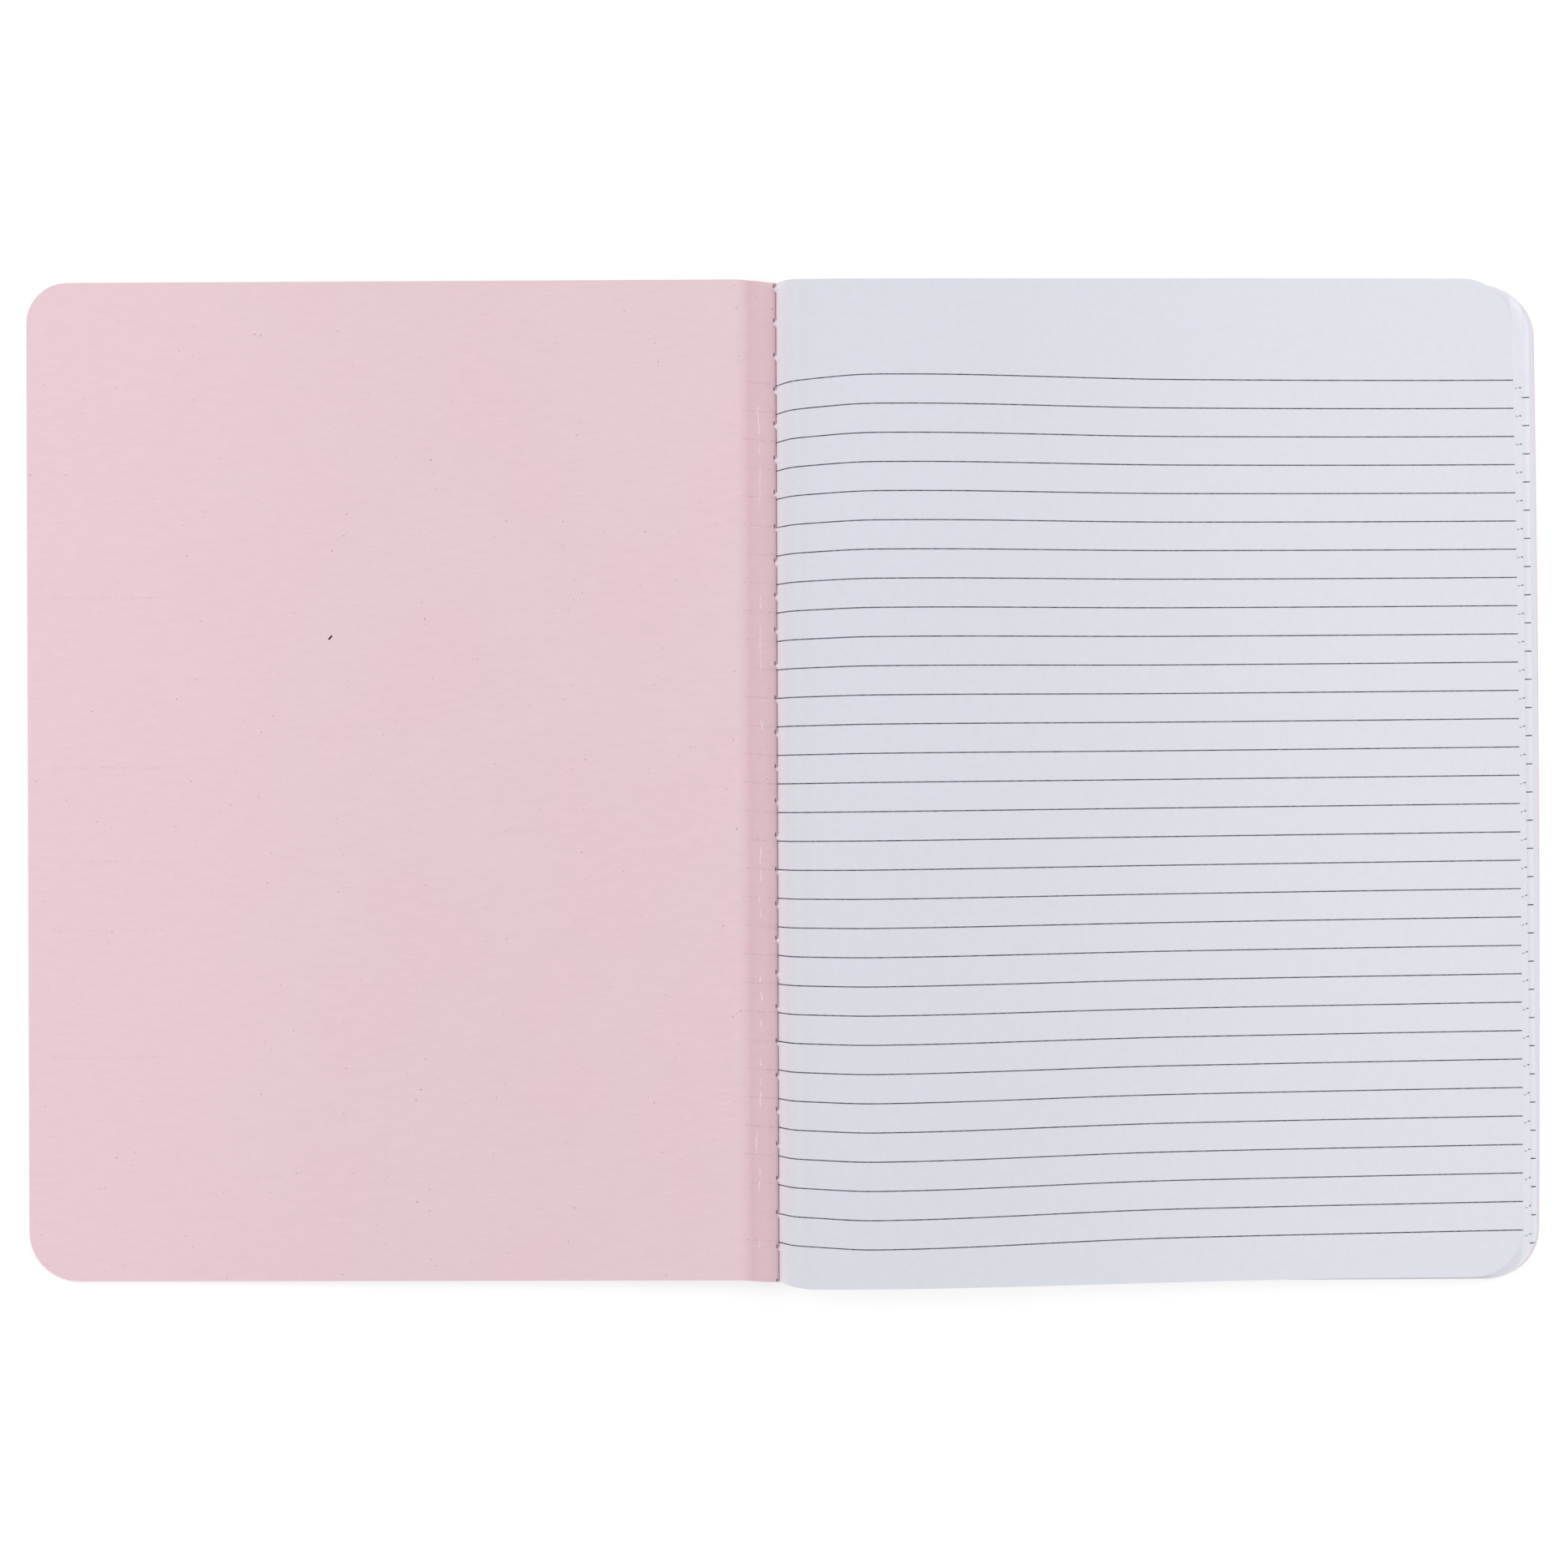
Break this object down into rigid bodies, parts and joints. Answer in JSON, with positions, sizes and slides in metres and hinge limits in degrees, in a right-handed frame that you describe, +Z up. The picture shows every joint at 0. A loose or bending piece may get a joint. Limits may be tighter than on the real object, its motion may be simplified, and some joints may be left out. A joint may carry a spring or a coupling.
{
  "type": "open composition notebook",
  "caption": "Sewn notebook lying open at its first page: pink-lined front cover on the left, ruled page block on the back cover at the right, both covers hinged at a cloth-taped spine.",
  "frame": {"origin": "on the table, under the middle of the open notebook", "axes": "+X across the open notebook towards the fore edge of the page block, +Y towards the head of the page, +Z up"},
  "size_m": [0.376, 0.2494, 0.0168],
  "materials": {
    "ruled_paper": "uncoated, ruled in grey",
    "lining_paper": "smooth pink, matt",
    "cover_paper": "coated, satin",
    "board": "grey board, cut edge",
    "cloth_tape": "fine bookcloth",
    "thread": "cotton"
  },
  "bodies": {
    "page_block": {"page_block": "ruled_paper", "sewing_thread": "thread", "spine_fold": "lining_paper", "spine_tape": "cloth_tape"},
    "front_cover": {"front_board": "board", "front_lining": "lining_paper", "front_cover_sheet": "cover_paper", "front_tape_wing": "cloth_tape"},
    "back_cover": {"back_board": "board", "back_lining": "lining_paper", "back_cover_sheet": "cover_paper", "back_tape_wing": "cloth_tape"}
  },
  "joints": [
    {"name": "front_cover_hinge", "type": "hinge", "parent": "page_block", "child": "front_cover", "pos_m": [-0.0021, 0, 0.01192], "axis": [0, 1, 0], "range_deg": [0, 179.5]},
    {"name": "back_cover_hinge", "type": "hinge", "parent": "page_block", "child": "back_cover", "pos_m": [0.0019, 0, -0.00015], "axis": [0, 1, 0], "range_deg": [0, 179.5]}
  ]
}
